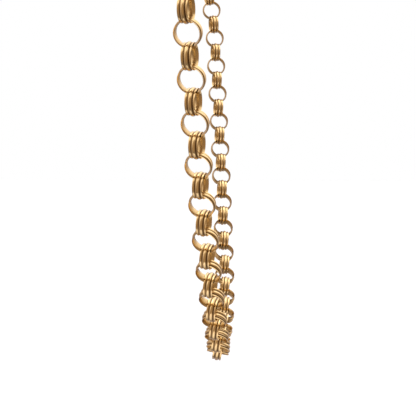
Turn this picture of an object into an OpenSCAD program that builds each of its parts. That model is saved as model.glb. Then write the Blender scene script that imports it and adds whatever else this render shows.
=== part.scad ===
// Rolo chain: round links of broad ribbed band, each turned a quarter from its neighbours.
// It hangs as round a neck. X runs across the wearer, Y from the throat to the nape, Z up.
// The origin is the middle of the nape, on the chain's centre line.

/* [Link] */
// Outside diameter of a link, over its middle rib
link_od = 4.5; // [4.1:0.1:5.5]
// Metal between the hole and the top of the middle rib
link_wall = 0.35; // [0.32:0.01:0.38]
// Slack between a link and its neighbour when the chain is pulled straight
play = 0.2; // [0.18:0.01:0.3]
// How much tighter the hole's bowed face is curved than the hole is round
bow_ease = 0.15; // [0.12:0.01:0.4]
// Radius of the middle rib's round back
mid_rib_r = 0.39; // [0.35:0.01:0.4]
// Radius of each side rib's round back
side_rib_r = 0.28; // [0.25:0.01:0.29]
// Distance from the middle of the band to the middle of a side rib
rib_spread = 0.69; // [0.65:0.01:0.7]
// How much lower the side ribs stand than the middle rib
rib_drop = 0.12; // [0.09:0.01:0.13]
// Depth of the grooves below the top of the middle rib
groove_depth = 0.2; // [0.14:0.01:0.24]

/* [Loop] */
// Places round the whole loop, one of them the clasp's
loop_places = 126; // [126:4:142]
// Places on each side of the lowest link that hang in the front curve
front_places = 27; // [24:1:29]
// Radius of the front curve at the lowest link
fall_r = 49.1; // [42:0.1:54]
// How much the front curve steepens on its way up, beside an even curve
steepen = 0.26; // [0.2:0.01:0.46]
// Angle that the front curve leans back by
lean = 3.5; // [0:0.1:10]
// How far the lowest links swing out of the leaned plane, towards the neck
swing = 0.9; // [0:0.1:1.2]
// Length along the chain in which the swing dies away
swing_reach = 14.5; // [12:0.5:20]
// Angle that every link is turned by round the chain's run
turn = 14.5; // [0:0.5:20]
// Depth of the neck behind the front curve
neck_depth = 62; // [54:1:70]
// How far the curve keeps its way past the top of the front
side_pull = 50; // [41:1:56]
// How far the curve keeps its way past the nape
nape_pull = 46; // [40:1:56]

/* [Clasp] */
// Radius of the clasp's ring, at the middle of its wire
clasp_ring_r = 2.5; // [2.45:0.05:2.9]
// Radius of the clasp's wire
clasp_wire_r = 0.55; // [0.4:0.01:0.6]
// Length of the thumb lug above the wire
lug_length = 0.6; // [0.3:0.05:1]
// Radius of the thumb lug
lug_r = 0.3; // [0.2:0.01:0.4]

/* [Hidden] */
gold = "#dcb878";

// Facets round a link and round its section's arcs
link_facets = 48;
arc_facets = 96;

// Link sizes that follow from the ones above
hole_r = link_od / 2 - link_wall;
bow_r = hole_r - bow_ease;
groove_r = link_od / 2 - groove_depth;
pitch = link_od - 2 * link_wall - play;

// Lengths of the loop, and the steps that its curves are walked in
half_places = loop_places / 2;
half_length = half_places * pitch;
front_length = front_places * pitch;
front_steps = 400;
back_steps = 120;
stride = front_length / front_steps;

// Rise over run of the front curve, at a length along it from the lowest link
function front_slope(along) = let (share = along / fall_r) share + steepen * pow(share, 3);

// A point or way in the front curve's own plane, leaned back into place
function leaned(flat) = [flat[0], flat[1] * sin(lean), flat[1] * cos(lean)];

// The front curve in its plane, walked up from the lowest link in even steps
front_curve = [
    for (
        i = 0, across = 0, up = 0;
        i <= front_steps;
        climb = atan(front_slope((i + 0.5) * stride)),
        across = across + stride * cos(climb),
        up = up + stride * sin(climb),
        i = i + 1
    )
    [across, up]
];

// The front curve in place, with the swing of its lowest links
function swung(along) = swing * exp(-pow(along / swing_reach, 2)) * [0, cos(lean), -sin(lean)];
front_rail = [for (i = [0:front_steps]) leaned(front_curve[i]) + swung(i * stride)];

// Where the front curve ends and the way it points there
front_top = front_rail[front_steps];
top_climb = atan(front_slope(front_length));
top_way = leaned([cos(top_climb), sin(top_climb)]);

// The curve round the neck, from the top of the front to a nape that lies a rise above it
function nape_at(rise) = [0, front_top[1] + neck_depth, front_top[2] + rise];
function back_point(t, nape) =
    pow(1 - t, 3) * front_top
    + 3 * pow(1 - t, 2) * t * (front_top + side_pull * top_way)
    + 3 * (1 - t) * pow(t, 2) * (nape + [nape_pull, 0, 0])
    + pow(t, 3) * nape;
function back_curve(rise) = [for (i = [1:back_steps]) back_point(i / back_steps, nape_at(rise))];

// Lengths along a list of points, up to each one of them
function lengths(points) = [
    for (
        i = 0, sum = 0;
        i < len(points);
        i = i + 1,
        sum = i < len(points) ? sum + norm(points[i] - points[i - 1]) : sum
    )
    sum
];
function back_length(rise) = let (sums = lengths(concat([front_top], back_curve(rise)))) sums[back_steps];

// The rise that gives the loop its whole length, found by halving
function rise_for(target, low, high, rounds) =
    let (middle = (low + high) / 2)
    rounds == 0 ? middle
    : back_length(middle) < target ? rise_for(target, middle, high, rounds - 1)
    : rise_for(target, low, middle, rounds - 1);
least_rise = 5;
most_rise = 250;
halvings = 24;
front_run = lengths(front_rail)[front_steps];
nape_rise = rise_for(half_length - front_run, least_rise, most_rise, halvings);
nape = nape_at(nape_rise);

// The right half of the centre line from the lowest link to the nape, with lengths along it
rail = concat(front_rail, back_curve(nape_rise));
rail_lengths = lengths(rail);
rail_x = [for (i = [0:len(rail) - 1]) [rail_lengths[i], rail[i][0]]];
rail_y = [for (i = [0:len(rail) - 1]) [rail_lengths[i], rail[i][1]]];
rail_z = [for (i = [0:len(rail) - 1]) [rail_lengths[i], rail[i][2]]];

// Places count up to the right from the lowest link and down to the left, and meet at the nape
function wrapped(place) = place > half_places ? place - loop_places : place;
function along(place) = abs(wrapped(place)) * pitch;
function point_at(place) =
    [sign(wrapped(place)) * lookup(along(place), rail_x), lookup(along(place), rail_y), lookup(along(place), rail_z)]
    - nape;

// Way of the chain's run at a place, from half a link before it to half a link after it
function unit(v) = v / norm(v);
function way_at(place) = unit(point_at(place + 0.5) - point_at(place - 0.5));

// Direction square to the run that the links are turned from: out of the throat at the front,
// and over into straight up at the nape
function guide_at(place) =
    let (
        share = max(0, along(place) - front_run) / (half_length - front_run),
        raised = lean + share * (90 - lean),
        guide = [0, -cos(raised), sin(raised)],
        way = way_at(place)
    )
    unit(guide - (guide * way) * way);

// Axis of the link at a place: every second one is turned a quarter
function axis_at(place) =
    let (angle = turn + 90 * (abs(place) % 2), guide = guide_at(place))
    cos(angle) * guide + sin(angle) * cross(way_at(place), guide);

// Puts its children at a place on the chain, with their X along the run and their Z on the link's axis
module at_place(place) {
    way = way_at(place);
    axis = axis_at(place);
    side = cross(axis, way);
    point = point_at(place);
    multmatrix([
        [way[0], side[0], axis[0], point[0]],
        [way[1], side[1], axis[1], point[1]],
        [way[2], side[2], axis[2], point[2]]
    ])
    children();
}

// A rib's round back, as a disc whose top lies at a radius of the link
module rib_disc(top_r, rib_r, spread) {
    translate([top_r - rib_r, spread])
    circle(r = rib_r, $fn = arc_facets);
}

// The band cut across: three ribs with grooves between, and a face towards the hole that is bowed
// along its width, so that the next link rolls over it with room to spare
module band_section() {
    intersection() {
        translate([hole_r + bow_r, 0])
        circle(r = bow_r, $fn = arc_facets);
        union() {
            rib_disc(link_od / 2, mid_rib_r, 0);
            for (side = [-1, 1])
                rib_disc(link_od / 2 - rib_drop, side_rib_r, side * rib_spread);
            translate([0, -rib_spread])
            square([groove_r, 2 * rib_spread]);
        }
    }
}

// One link, its axis on Z
module link() {
    rotate_extrude($fn = link_facets)
    band_section();
}

// Right half of the chain, with the lowest link
module chain_right() {
    color(gold)
    for (place = [0:half_places - 1])
        at_place(place)
        link();
}

// Left half of the chain
module chain_left() {
    color(gold)
    for (place = [1:half_places - 1])
        at_place(-place)
        link();
}

// Ring clasp with its thumb lug, in the nape's place between the two end links
module clasp() {
    color(gold)
    at_place(half_places)
    union() {
        rotate_extrude($fn = link_facets)
        translate([clasp_ring_r, 0])
        circle(r = clasp_wire_r, $fn = arc_facets);
        rotate([-90, 0, 0])
        translate([0, 0, clasp_ring_r])
        cylinder(h = clasp_wire_r + lug_length, r = lug_r, $fn = link_facets);
        translate([0, clasp_ring_r + clasp_wire_r + lug_length, 0])
        sphere(r = lug_r, $fn = link_facets);
    }
}

chain_right();
chain_left();
clasp();
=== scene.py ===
# %% [markdown]
# # A rolo chain in polished gold
# This lesson dresses the solids of a gold neck chain. The chain hangs in a free curve, as it is worn,
# and is seen almost along that curve. Its links are broad ribbed bands, so nearly everything that
# the eye takes for gold is a reflection: the form of the ribs and the light round them do the work.

import math

import bpy
import numpy as np
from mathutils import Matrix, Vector


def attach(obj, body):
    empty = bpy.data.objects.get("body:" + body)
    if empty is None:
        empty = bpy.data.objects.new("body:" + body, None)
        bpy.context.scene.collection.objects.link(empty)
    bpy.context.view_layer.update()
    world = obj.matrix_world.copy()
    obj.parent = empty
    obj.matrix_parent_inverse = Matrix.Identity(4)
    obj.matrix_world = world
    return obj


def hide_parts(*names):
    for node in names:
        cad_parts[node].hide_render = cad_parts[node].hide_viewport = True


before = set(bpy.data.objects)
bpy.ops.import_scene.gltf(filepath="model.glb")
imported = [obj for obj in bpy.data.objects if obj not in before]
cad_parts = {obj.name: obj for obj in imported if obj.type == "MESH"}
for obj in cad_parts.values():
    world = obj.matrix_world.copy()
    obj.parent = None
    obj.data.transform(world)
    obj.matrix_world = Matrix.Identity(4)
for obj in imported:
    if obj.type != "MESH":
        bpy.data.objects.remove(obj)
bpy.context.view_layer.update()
MM = 0.001
print("nodes:", sorted(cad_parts))

# %% [markdown]
# ## Where each link sits
# Each half of the chain is one node that holds many loose rings. Their places could be worked out
# again from the chain's curve, but the solids already hold them. So the rings are told apart by the
# faces that hang together, and each one's centre and axis are measured from its own surface. The
# axis of a ring is the way in which its surface spreads least.

# %% Tell the rings of a node apart
WELD = 1e-6


def loose_rings(node):
    """Each ring's triangle corners in a node, as an array of triangles by corners by coordinates."""
    mesh = node.data
    mesh.calc_loop_triangles()
    points = np.array([v.co for v in mesh.vertices])
    triangles = np.array([t.vertices for t in mesh.loop_triangles])
    _, same = np.unique(np.round(points / WELD).astype(np.int64), axis=0, return_inverse=True)
    welded = same.reshape(-1)[triangles]
    label = np.arange(welded.max() + 1)
    # Each point takes the lowest label of its triangles, until a ring's points all hold the same one
    while True:
        lowest = label[welded].min(axis=1)
        spread = label.copy()
        for corner in range(3):
            np.minimum.at(spread, welded[:, corner], lowest)
        spread = spread[spread]
        if (spread == label).all():
            break
        label = spread
    owner = label[welded[:, 0]]
    return [points[triangles[owner == ring]] for ring in np.unique(owner)]


def place_of(ring):
    """Centre, axis, outside radius and half width of a ring, from its surface."""
    centres = ring.mean(axis=1)
    edges = ring[:, 1:] - ring[:, :1]
    areas = np.linalg.norm(np.cross(edges[:, 0], edges[:, 1]), axis=1)
    centre = (centres * areas[:, None]).sum(axis=0) / areas.sum()
    offsets = centres - centre
    spread = (offsets * areas[:, None]).T @ offsets
    axis = np.linalg.eigh(spread)[1][:, 0]
    corners = ring.reshape(-1, 3) - centre
    width = corners @ axis
    radius = np.linalg.norm(corners - width[:, None] * axis, axis=1)
    return centre, axis, radius.max(), width.max()


places = {name: [place_of(ring) for ring in loose_rings(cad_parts[name])]
          for name in ("chain_right", "chain_left")}
for name, found in places.items():
    widest = 2 * max(radius for _, _, radius, _ in found)
    broadest = 2 * max(half_width for _, _, _, half_width in found)
    print(name, len(found), "links, outside diameter", round(widest / MM, 3),
          "mm, width", round(broadest / MM, 3), "mm")

# %% [markdown]
# ## The camera
# The picture looks almost along the plane of the front curve, a little from above. The camera stands
# on the left of the wearer, and its place is counted from the lowest link, which the eye is drawn to.
# A longer lens keeps the near strand and the far one side by side.

# %% Place the camera
# Lens and sensor in millimetres, the angles that it looks down and to its left in degrees
LENS = 106.46
SENSOR = 36
LOOK_DOWN = 4.189
LOOK_ASIDE = 2.404
FROM_LOWEST = Vector((-244.98, -8.12, 45.60)) * MM
NEAREST_SEEN = 0.01
FARTHEST_SEEN = 20

every_centre = [centre for found in places.values() for centre, _, _, _ in found]
lowest = Vector(min(every_centre, key=lambda centre: centre[2]))
down = math.radians(LOOK_DOWN)
aside = math.radians(LOOK_ASIDE)
look = Vector((math.cos(aside) * math.cos(down), math.sin(aside) * math.cos(down), -math.sin(down)))

camera = bpy.data.objects.new("camera", bpy.data.cameras.new("camera"))
bpy.context.scene.collection.objects.link(camera)
camera.location = lowest + FROM_LOWEST
camera.rotation_mode = "QUATERNION"
camera.rotation_quaternion = look.to_track_quat("-Z", "Y")
camera.data.lens = LENS
camera.data.sensor_width = SENSOR
camera.data.clip_start = NEAREST_SEEN
camera.data.clip_end = FARTHEST_SEEN
bpy.context.scene.camera = camera
print("camera at", [round(x / MM, 1) for x in camera.location], "mm")

# %% [markdown]
# ## One link
# A rolo link is a short piece of ribbed wire, bent round and soldered shut. It could be modelled as
# a torus, but then the three ribs, which catch three thin highlights side by side, would be lost. So
# the wire's cross-section is drawn once, from arcs, and turned round the link's axis. The face
# towards the hole is bowed across its width, because that is where the next link rolls. The solids
# keep a wide gap between links, and here the wall takes up half of it, as real links touch.

# %% Draw the wire's cross-section
LINK_OD = 4.5 * MM
WALL = 0.4 * MM
MIDDLE_RIB_R = 0.39 * MM
SIDE_RIB_R = 0.28 * MM
SIDE_RIB_DROP = 0.12 * MM
RIB_SPREAD = 0.69 * MM
GROOVE_DEPTH = 0.25 * MM
BOW_R = 1.45 * MM
# Degrees from a rib's top to where its back ends, in a groove and at the band's edge
FOOT_ANGLE = 52
EDGE_ANGLE = 26
# Points on half of the middle rib, on a side rib and on half of the bowed face
MIDDLE_POINTS = 4
SIDE_POINTS = 6
BOW_POINTS = 5


def arc(centre_r, centre_y, radius, start, end, count):
    """Points of an arc in the section, as radius and place across the band; angles are in degrees."""
    angles = np.radians(np.linspace(start, end, count))
    return np.column_stack([centre_r + radius * np.cos(angles), centre_y + radius * np.sin(angles)])


def half_section():
    """The section from the middle rib's top over a side rib to the middle of the hole's face."""
    middle = arc(LINK_OD / 2 - MIDDLE_RIB_R, 0, MIDDLE_RIB_R, 0, FOOT_ANGLE, MIDDLE_POINTS)
    side_centre = LINK_OD / 2 - SIDE_RIB_DROP - SIDE_RIB_R
    side = arc(side_centre, RIB_SPREAD, SIDE_RIB_R, -FOOT_ANGLE, EDGE_ANGLE, SIDE_POINTS)
    groove = [[LINK_OD / 2 - GROOVE_DEPTH, (middle[-1][1] + side[0][1]) / 2]]
    bow_centre = LINK_OD / 2 - WALL + BOW_R
    edge = math.degrees(math.asin(side[-1][1] / BOW_R))
    bow = arc(bow_centre, 0, BOW_R, 180 - edge, 180, BOW_POINTS)
    return np.concatenate([middle, groove, side, bow[1:]])


half = half_section()
mirrored = half[-2:0:-1] * [1, -1]
section = np.concatenate([half, mirrored])
print("section of", len(section), "points,", round(2 * half[:, 1].max() / MM, 3), "mm wide")

# %% [markdown]
# ## From one link to half a chain
# Copies of a link could be an array along a curve, but every second link is turned a quarter, and
# the finish needs to know where on the wire each face lies. So the section is turned into rings of
# quads at each place, all in one mesh. Each face corner keeps how far along and across the wire it
# is, in millimetres, and which link it belongs to. The groove floors and the band's edges stay
# crisp, and all else is smooth.

# %% Build the links of one half
RING_STEPS = 56
# Points of the section that stay crisp: a groove's floor and the band's edge, on either side
CREASES = [MIDDLE_POINTS, MIDDLE_POINTS + SIDE_POINTS]
CREASES += [len(section) - point for point in CREASES]
# The links of a half lie flat in the cells of a sheet, on which their finish can be baked
SHEET_COLUMNS = 4
SHEET_ROWS = 16
SHEET_MARGIN = 0.06
# A way that no link's axis lies along
ANY_WAY = (0.3, 0.5, 0.8)


def ring_faces():
    """Quads of one ring, with how far along and across the wire each of their corners is."""
    steps, points = RING_STEPS, len(section)
    closed = np.concatenate([section, section[:1]])
    lengths = np.append(0, np.cumsum(np.linalg.norm(np.diff(closed, axis=0), axis=1)))
    step, point = np.meshgrid(np.arange(steps), np.arange(points), indexing="ij")
    step, point = step.ravel(), point.ravel()
    next_step, next_point = (step + 1) % steps, (point + 1) % points
    quads = np.column_stack([step * points + point, next_step * points + point,
                             next_step * points + next_point, step * points + next_point])
    along = np.column_stack([step, step + 1, step + 1, step]) * 2 * np.pi / steps * LINK_OD / 2
    across = lengths[np.column_stack([point, point, point + 1, point + 1])]
    return quads, along, across


def ring_mesh(name, found):
    """One mesh of all the rings at the places found, with the wire's coordinates on its corners."""
    quads, along, across = ring_faces()
    points = len(section)
    turn = 2 * np.pi * np.arange(RING_STEPS) / RING_STEPS
    corners, faces, wire, sheet = [], [], [], []
    for number, (centre, axis, _, _) in enumerate(found):
        first = np.cross(axis, ANY_WAY)
        first /= np.linalg.norm(first)
        second = np.cross(axis, first)
        spokes = np.cos(turn)[:, None] * first + np.sin(turn)[:, None] * second
        ring = spokes[:, None, :] * section[None, :, :1] + axis * section[None, :, 1:]
        faces.append(quads + number * RING_STEPS * points)
        corners.append((ring + centre).reshape(-1, 3))
        wire.append(np.dstack([along / MM, across / MM, np.full(along.shape, number)]))
        cell = np.array([number % SHEET_COLUMNS, number // SHEET_COLUMNS])
        shares = np.dstack([along / along.max(), across / across.max()])
        inset = SHEET_MARGIN + (1 - 2 * SHEET_MARGIN) * shares
        sheet.append((cell + inset) / [SHEET_COLUMNS, SHEET_ROWS])
    mesh = bpy.data.meshes.new(name)
    mesh.from_pydata(np.concatenate(corners).tolist(), [], np.concatenate(faces).tolist())
    mesh.attributes.new("wire_mm", "FLOAT_VECTOR", "CORNER").data.foreach_set(
        "vector", np.concatenate(wire).reshape(-1).astype(np.float32))
    mesh.uv_layers.new(name="OFBake").data.foreach_set(
        "uv", np.concatenate(sheet).reshape(-1).astype(np.float32))
    mesh.shade_smooth()
    ends = np.array([edge.vertices for edge in mesh.edges]) % points
    crisp = (ends[:, 0] == ends[:, 1]) & np.isin(ends[:, 0], CREASES)
    mesh.attributes.new("sharp_edge", "BOOLEAN", "EDGE").data.foreach_set("value", crisp)
    return mesh


links = {}
for name, found in places.items():
    piece = bpy.data.objects.new(name.replace("chain", "links"), ring_mesh(name, found))
    bpy.context.scene.collection.objects.link(piece)
    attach(piece, "root")
    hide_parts(name)
    links[name] = piece
    print(piece.name, len(piece.data.polygons) * 2, "triangles")

# %% [markdown]
# ## Polished gold
# The chain is 14 carat yellow gold, drawn as ribbed wire and tumbled bright. A metal's colour is the
# colour of its reflections, so the base colour is pale, and the deep browns come where one link
# mirrors another. Tumbling leaves the tops of the ribs brightest. It hardly reaches the inside of a
# link, which is duller and is painted a little darker there as shade. Polish and skin grease stay in
# the grooves, which are dullest. Their dark colour is partly polish residue and partly painted shade.
# Fine draw marks run along the wire.
#
# The wear and the painted shade could follow how hollow the surface is, but a groove here is only a
# few rows of faces wide. So the dullness and the painted shade are written on the section's own
# points. The clasp isn't drawn from this wire, and fine scratches run over it every way.

# %% Helpers for materials
def linear(hex_colour):
    """An sRGB hex colour as linear red, green, blue and alpha."""
    parts = [int(hex_colour[i:i + 2], 16) / 255 for i in (1, 3, 5)]
    return tuple(c / 12.92 if c <= 0.04045 else ((c + 0.055) / 1.055) ** 2.4 for c in parts) + (1,)


def add_node(tree, kind, inputs=None, **settings):
    """Adds a node. Each input is a value, or the output of another node to link."""
    made = tree.nodes.new(kind)
    for name, value in settings.items():
        setattr(made, name, value)
    for socket, value in (inputs or {}).items():
        if isinstance(value, bpy.types.NodeSocket):
            tree.links.new(value, made.inputs[socket])
        else:
            made.inputs[socket].default_value = value
    return made


# %% Make the gold
GOLD_POLISHED = "#f3d69b"
# The dark gold of the grooves is partly polish residue and partly painted shade, and it is also mixed in a
# little inside the links
GOLD_GROOVE_SHADE_AND_RESIDUE = "#684a27"
# Fine marks: how long and how far apart in millimetres on the wire, with a step that sets one
# link's marks apart from the next one's. The clasp's are equally far apart every way. Real marks are
# finer still, and too fine to show
DRAW_MARK_LENGTH = 1.5
DRAW_MARK_SPACING = 0.05
LINK_TO_LINK = 0.14
CLASP_MARK_SPACING = (0.1, 0.1, 0.1)
MARK_DEPTH = 0.004 * MM
ROUGH_POLISHED = 0.1
ROUGH_DULL = 0.28
ROUGH_GROOVE = 0.5
BUMP_STRENGTH = 0.5
MARK_NOISE = {"Scale": 1.0, "Detail": 3.0, "Roughness": 0.6}
FILM_NOISE = {"Scale": 0.9, "Detail": 2.0, "Roughness": 0.5}
# Noise from which and up to which the gold gets duller, by wear and by the film
WORN_RANGE = (0.1, 0.45)
FILM_RANGE = (0.4, 0.7)
# Points of the section and how much dullness and painted shade each one gets: in and beside a groove, and
# inside the link
DULL_AND_SHADED_POINTS = [(2, 0.1), (3, 0.65), (4, 1.0), (5, 0.65), (6, 0.1),
               (11, 0.3), (12, 0.3), (13, 0.3), (14, 0.3)]
# How dull a thin film of grease makes the gold at most
FILM_DULL = 0.12


def in_link_wire(tree):
    """Way along the wire, way across it and number of the link, in millimetres, on the links."""
    return add_node(tree, "ShaderNodeAttribute", attribute_name="wire_mm").outputs["Vector"]


def in_millimetres(tree):
    """Plain place in millimetres, on a piece that isn't drawn wire."""
    place = add_node(tree, "ShaderNodeTexCoord").outputs["Object"]
    return add_node(tree, "ShaderNodeVectorMath", {0: place, "Scale": 1 / MM}, operation="SCALE").outputs[0]


def polished_gold(name, coordinates, mark_spacing):
    """Tumbled 14 carat gold: bright where it is rubbed, duller in hollows, where polish residue and painted
    shade darken its colour, with fine marks and a film.
    """
    material = bpy.data.materials.new(name)
    material.use_nodes = True
    tree = material.node_tree
    shader = tree.nodes["Principled BSDF"]
    place = coordinates(tree)
    stretched = add_node(tree, "ShaderNodeMapping", {
        "Vector": place,
        "Scale": tuple(1 / spacing for spacing in mark_spacing),
    }).outputs["Vector"]
    marks = add_node(tree, "ShaderNodeTexNoise", {"Vector": stretched, **MARK_NOISE}).outputs["Fac"]
    film = add_node(tree, "ShaderNodeTexNoise", {"Vector": place, **FILM_NOISE}).outputs["Fac"]
    hollow = add_node(tree, "ShaderNodeAttribute", attribute_name="dull_and_shaded").outputs["Fac"]
    greasy = add_node(tree, "ShaderNodeMapRange", {
        "Value": film, "From Min": FILM_RANGE[0], "From Max": FILM_RANGE[1], "To Max": FILM_DULL,
    }).outputs["Result"]
    dull_and_shaded = add_node(tree, "ShaderNodeMath", {0: hollow, 1: greasy}, operation="MAXIMUM").outputs[0]
    # The dullness also mixes in the groove colour: painted shade and polish residue in the hollows
    base = add_node(tree, "ShaderNodeMix", {
        "Factor": dull_and_shaded, 6: linear(GOLD_POLISHED), 7: linear(GOLD_GROOVE_SHADE_AND_RESIDUE),
    }, data_type="RGBA").outputs[2]
    worn = add_node(tree, "ShaderNodeMapRange", {
        "Value": add_node(tree, "ShaderNodeMath", {0: marks, 1: film}, operation="MULTIPLY").outputs[0],
        "From Min": WORN_RANGE[0], "From Max": WORN_RANGE[1],
        "To Min": ROUGH_POLISHED, "To Max": ROUGH_DULL,
    }).outputs["Result"]
    rough = add_node(tree, "ShaderNodeMix", {"Factor": dull_and_shaded, 2: worn, 3: ROUGH_GROOVE}).outputs[0]
    bump = add_node(tree, "ShaderNodeBump", {
        "Height": marks, "Strength": BUMP_STRENGTH, "Distance": MARK_DEPTH,
    }).outputs["Normal"]
    tree.links.new(base, shader.inputs["Base Color"])
    tree.links.new(rough, shader.inputs["Roughness"])
    tree.links.new(bump, shader.inputs["Normal"])
    shader.inputs["Metallic"].default_value = 1
    return material


def mark_dull_and_shaded(mesh):
    """Writes how much dullness and painted shade each point of the section gets: full on the groove floors,
    none on the crests.
    """
    by_point = np.zeros(len(section))
    for point, dull_and_shaded in DULL_AND_SHADED_POINTS:
        by_point[[point, -point]] = dull_and_shaded
    mesh.attributes.new("dull_and_shaded", "FLOAT", "POINT").data.foreach_set(
        "value", by_point[np.arange(len(mesh.vertices)) % len(section)].astype(np.float32))


wire_gold = polished_gold("polished_gold_wire", in_link_wire,
                          (DRAW_MARK_LENGTH, DRAW_MARK_SPACING, LINK_TO_LINK))
for name, piece in links.items():
    mark_dull_and_shaded(piece.data)
    piece.data.materials.append(wire_gold)
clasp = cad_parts["clasp"]
clasp.data.materials.clear()
clasp.data.materials.append(polished_gold("polished_gold_clasp", in_millimetres, CLASP_MARK_SPACING))
print("gold on", [piece.name for piece in links.values()], "and on", clasp.name)

# %% [markdown]
# ## Light
# The chain was photographed in a light tent: white walls all round, with a gap that the camera looks
# in by. Polished gold shows only what it mirrors, so a plain white world would leave it flat. Real
# walls with lamps behind them could be built, but they would throw noise and cost time. The tent is
# a world instead, drawn for its reflections: it grows brighter with height, and soft-edged round
# patches lie on it.
#
# The dark gap on the camera's side, with the shade on its right, puts the brown between the bright
# lines of the ribs. The edges of a link mirror the walls behind, where a spot of shade sets them off
# from the white. Two lamps put a short mark of light on each rib. The backdrop is plain white, so
# the camera and the floor see white instead of these walls.

# %% Build the tent
bpy.context.scene.view_settings.view_transform = "Standard"

# Linear colours of the walls by height, from straight down at -1 to straight up at 1
BY_HEIGHT = [(-1.0, (0.22, 0.175, 0.15)), (-0.35, (0.30, 0.24, 0.21)), (0.0, (0.78, 0.66, 0.64)),
             (0.35, (1.2, 1.06, 1.02)), (1.0, (1.5, 1.36, 1.34))]
# Soft-edged round patches: the way they lie in, where they fade in and are full (as cosines of the
# angle from that way), their linear colour and how much of it
PATCHES = [
    ("back wall", (1, 0, 0.1), (0.3, 0.9), (0.72, 0.63, 0.72), 0.9),
    ("shade straight behind", (1, 0.04, -0.07), (0.84, 0.96), (0.15, 0.10, 0.09), 0.92),
    ("left side, in the shade", (0.25, 1, -0.05), (0.55, 0.95), (0.48, 0.38, 0.36), 0.85),
    ("front right, in the shade", (-0.8, -1, -0.05), (0.68, 0.93), (0.22, 0.145, 0.1), 0.92),
    ("gap that the camera looks in by", (-1, -0.05, -0.12), (0.52, 0.82), (0.40, 0.275, 0.185), 0.96),
    ("lamp overhead", (0.1, 0.35, 0.93), (0.90, 0.975), (2.8, 2.7, 2.8), 1.0),
    ("lamp behind on the right", (0.7, -0.35, 0.62), (0.78, 0.97), (1.5, 1.43, 1.5), 1.0),
]

world = bpy.data.worlds.new("tent")
bpy.context.scene.world = world
world.use_nodes = True
tree = world.node_tree
background = tree.nodes["Background"]
direction = add_node(tree, "ShaderNodeTexCoord").outputs["Generated"]


def patched(colour, way, edges, patch_colour, share):
    """The tent's colour with a soft-edged round patch of another colour in the way given."""
    nearness = add_node(tree, "ShaderNodeVectorMath", {0: direction, 1: way}, operation="DOT_PRODUCT")
    amount = add_node(tree, "ShaderNodeMapRange", {
        "Value": nearness.outputs["Value"], "From Min": edges[0], "From Max": edges[1], "To Max": share,
    }, interpolation_type="SMOOTHSTEP").outputs["Result"]
    return add_node(tree, "ShaderNodeMix", {
        "Factor": amount, 6: colour, 7: patch_colour + (1,),
    }, data_type="RGBA").outputs[2]


height = add_node(tree, "ShaderNodeSeparateXYZ", {"Vector": direction}).outputs["Z"]
raised = add_node(tree, "ShaderNodeMapRange", {
    "Value": height, "From Min": -1.0, "From Max": 1.0,
}).outputs["Result"]
ramp = add_node(tree, "ShaderNodeValToRGB", {"Fac": raised})
stops = ramp.color_ramp.elements
while len(stops) < len(BY_HEIGHT):
    stops.new(0.5)
for stop, (z, colour) in zip(stops, BY_HEIGHT):
    stop.position = (z + 1) / 2
    stop.color = colour + (1,)
walls = ramp.outputs["Color"]
for _, way, edges, colour, share in PATCHES:
    walls = patched(walls, Vector(way).normalized(), edges, colour, share)
rays = add_node(tree, "ShaderNodeLightPath").outputs
plain = add_node(tree, "ShaderNodeMath", {
    0: rays["Is Camera Ray"], 1: rays["Is Diffuse Ray"]}, operation="MAXIMUM").outputs[0]
shade = add_node(tree, "ShaderNodeMix", {
    "Factor": plain, 6: walls, 7: (1, 1, 1, 1),
}, data_type="RGBA").outputs[2]
tree.links.new(shade, background.inputs["Color"])
print("tent with", len(PATCHES), "patches on its walls")

# %% [markdown]
# ## A card below
# At the bottom of the curve the links lie close behind one another, and still their undersides shine
# in the picture: a white card below throws light up at them. A brighter lower half of the tent would
# do that too, but it would also light the strands all the way up. A soft disk of light near the
# lowest links lights them alone.

# %% Light the lowest links from below
LOW_LIGHT_FROM_LOWEST = Vector((-35, 0, -45)) * MM
LOW_LIGHT_SIZE = 105 * MM
LOW_LIGHT_SPREAD = 130
LOW_LIGHT_BRIGHT = 0.6
LOW_LIGHT_COLOUR = (0.92, 0.87, 0.96)

low_light = bpy.data.lights.new("low_light", "AREA")
low_light.shape = "DISK"
low_light.size = LOW_LIGHT_SIZE
low_light.color = LOW_LIGHT_COLOUR
low_light.spread = math.radians(LOW_LIGHT_SPREAD)
# A flat light gives off pi times its brightness from each square metre
low_light.energy = LOW_LIGHT_BRIGHT * math.pi * math.pi * (LOW_LIGHT_SIZE / 2) ** 2
card = bpy.data.objects.new("low_light", low_light)
bpy.context.scene.collection.objects.link(card)
card.location = lowest + LOW_LIGHT_FROM_LOWEST
card.rotation_mode = "QUATERNION"
card.rotation_quaternion = (-LOW_LIGHT_FROM_LOWEST).to_track_quat("-Z", "Y")
card.visible_camera = False
print("low light at", [round(x / MM, 1) for x in card.location], "mm")

# %% [markdown]
# ## Floor
# The necklace floats on white in the picture, so the floor is plain white paper, and lies so far down
# that no edge or shadow of it shows. Its mirror image would flatten the tent's lower half, and is
# left out of the gold.

# %% Lay the floor
FLOOR_BELOW = 120 * MM
FLOOR_HALF = 3.0
FLOOR_WHITE = "#ffffff"

floor_z = lowest.z - FLOOR_BELOW
floor_mesh = bpy.data.meshes.new("floor")
floor_corners = [(x * FLOOR_HALF, y * FLOOR_HALF, floor_z)
                 for x, y in ((-1, -1), (1, -1), (1, 1), (-1, 1))]
floor_mesh.from_pydata(floor_corners, [], [(0, 1, 2, 3)])
floor = bpy.data.objects.new("floor", floor_mesh)
bpy.context.scene.collection.objects.link(floor)
paper = bpy.data.materials.new("white_paper")
paper.use_nodes = True
paper.node_tree.nodes["Principled BSDF"].inputs["Base Color"].default_value = linear(FLOOR_WHITE)
paper.node_tree.nodes["Principled BSDF"].inputs["Roughness"].default_value = 1
floor_mesh.materials.append(paper)
floor.visible_glossy = False
print("floor at", round(floor_z / MM, 1), "mm")
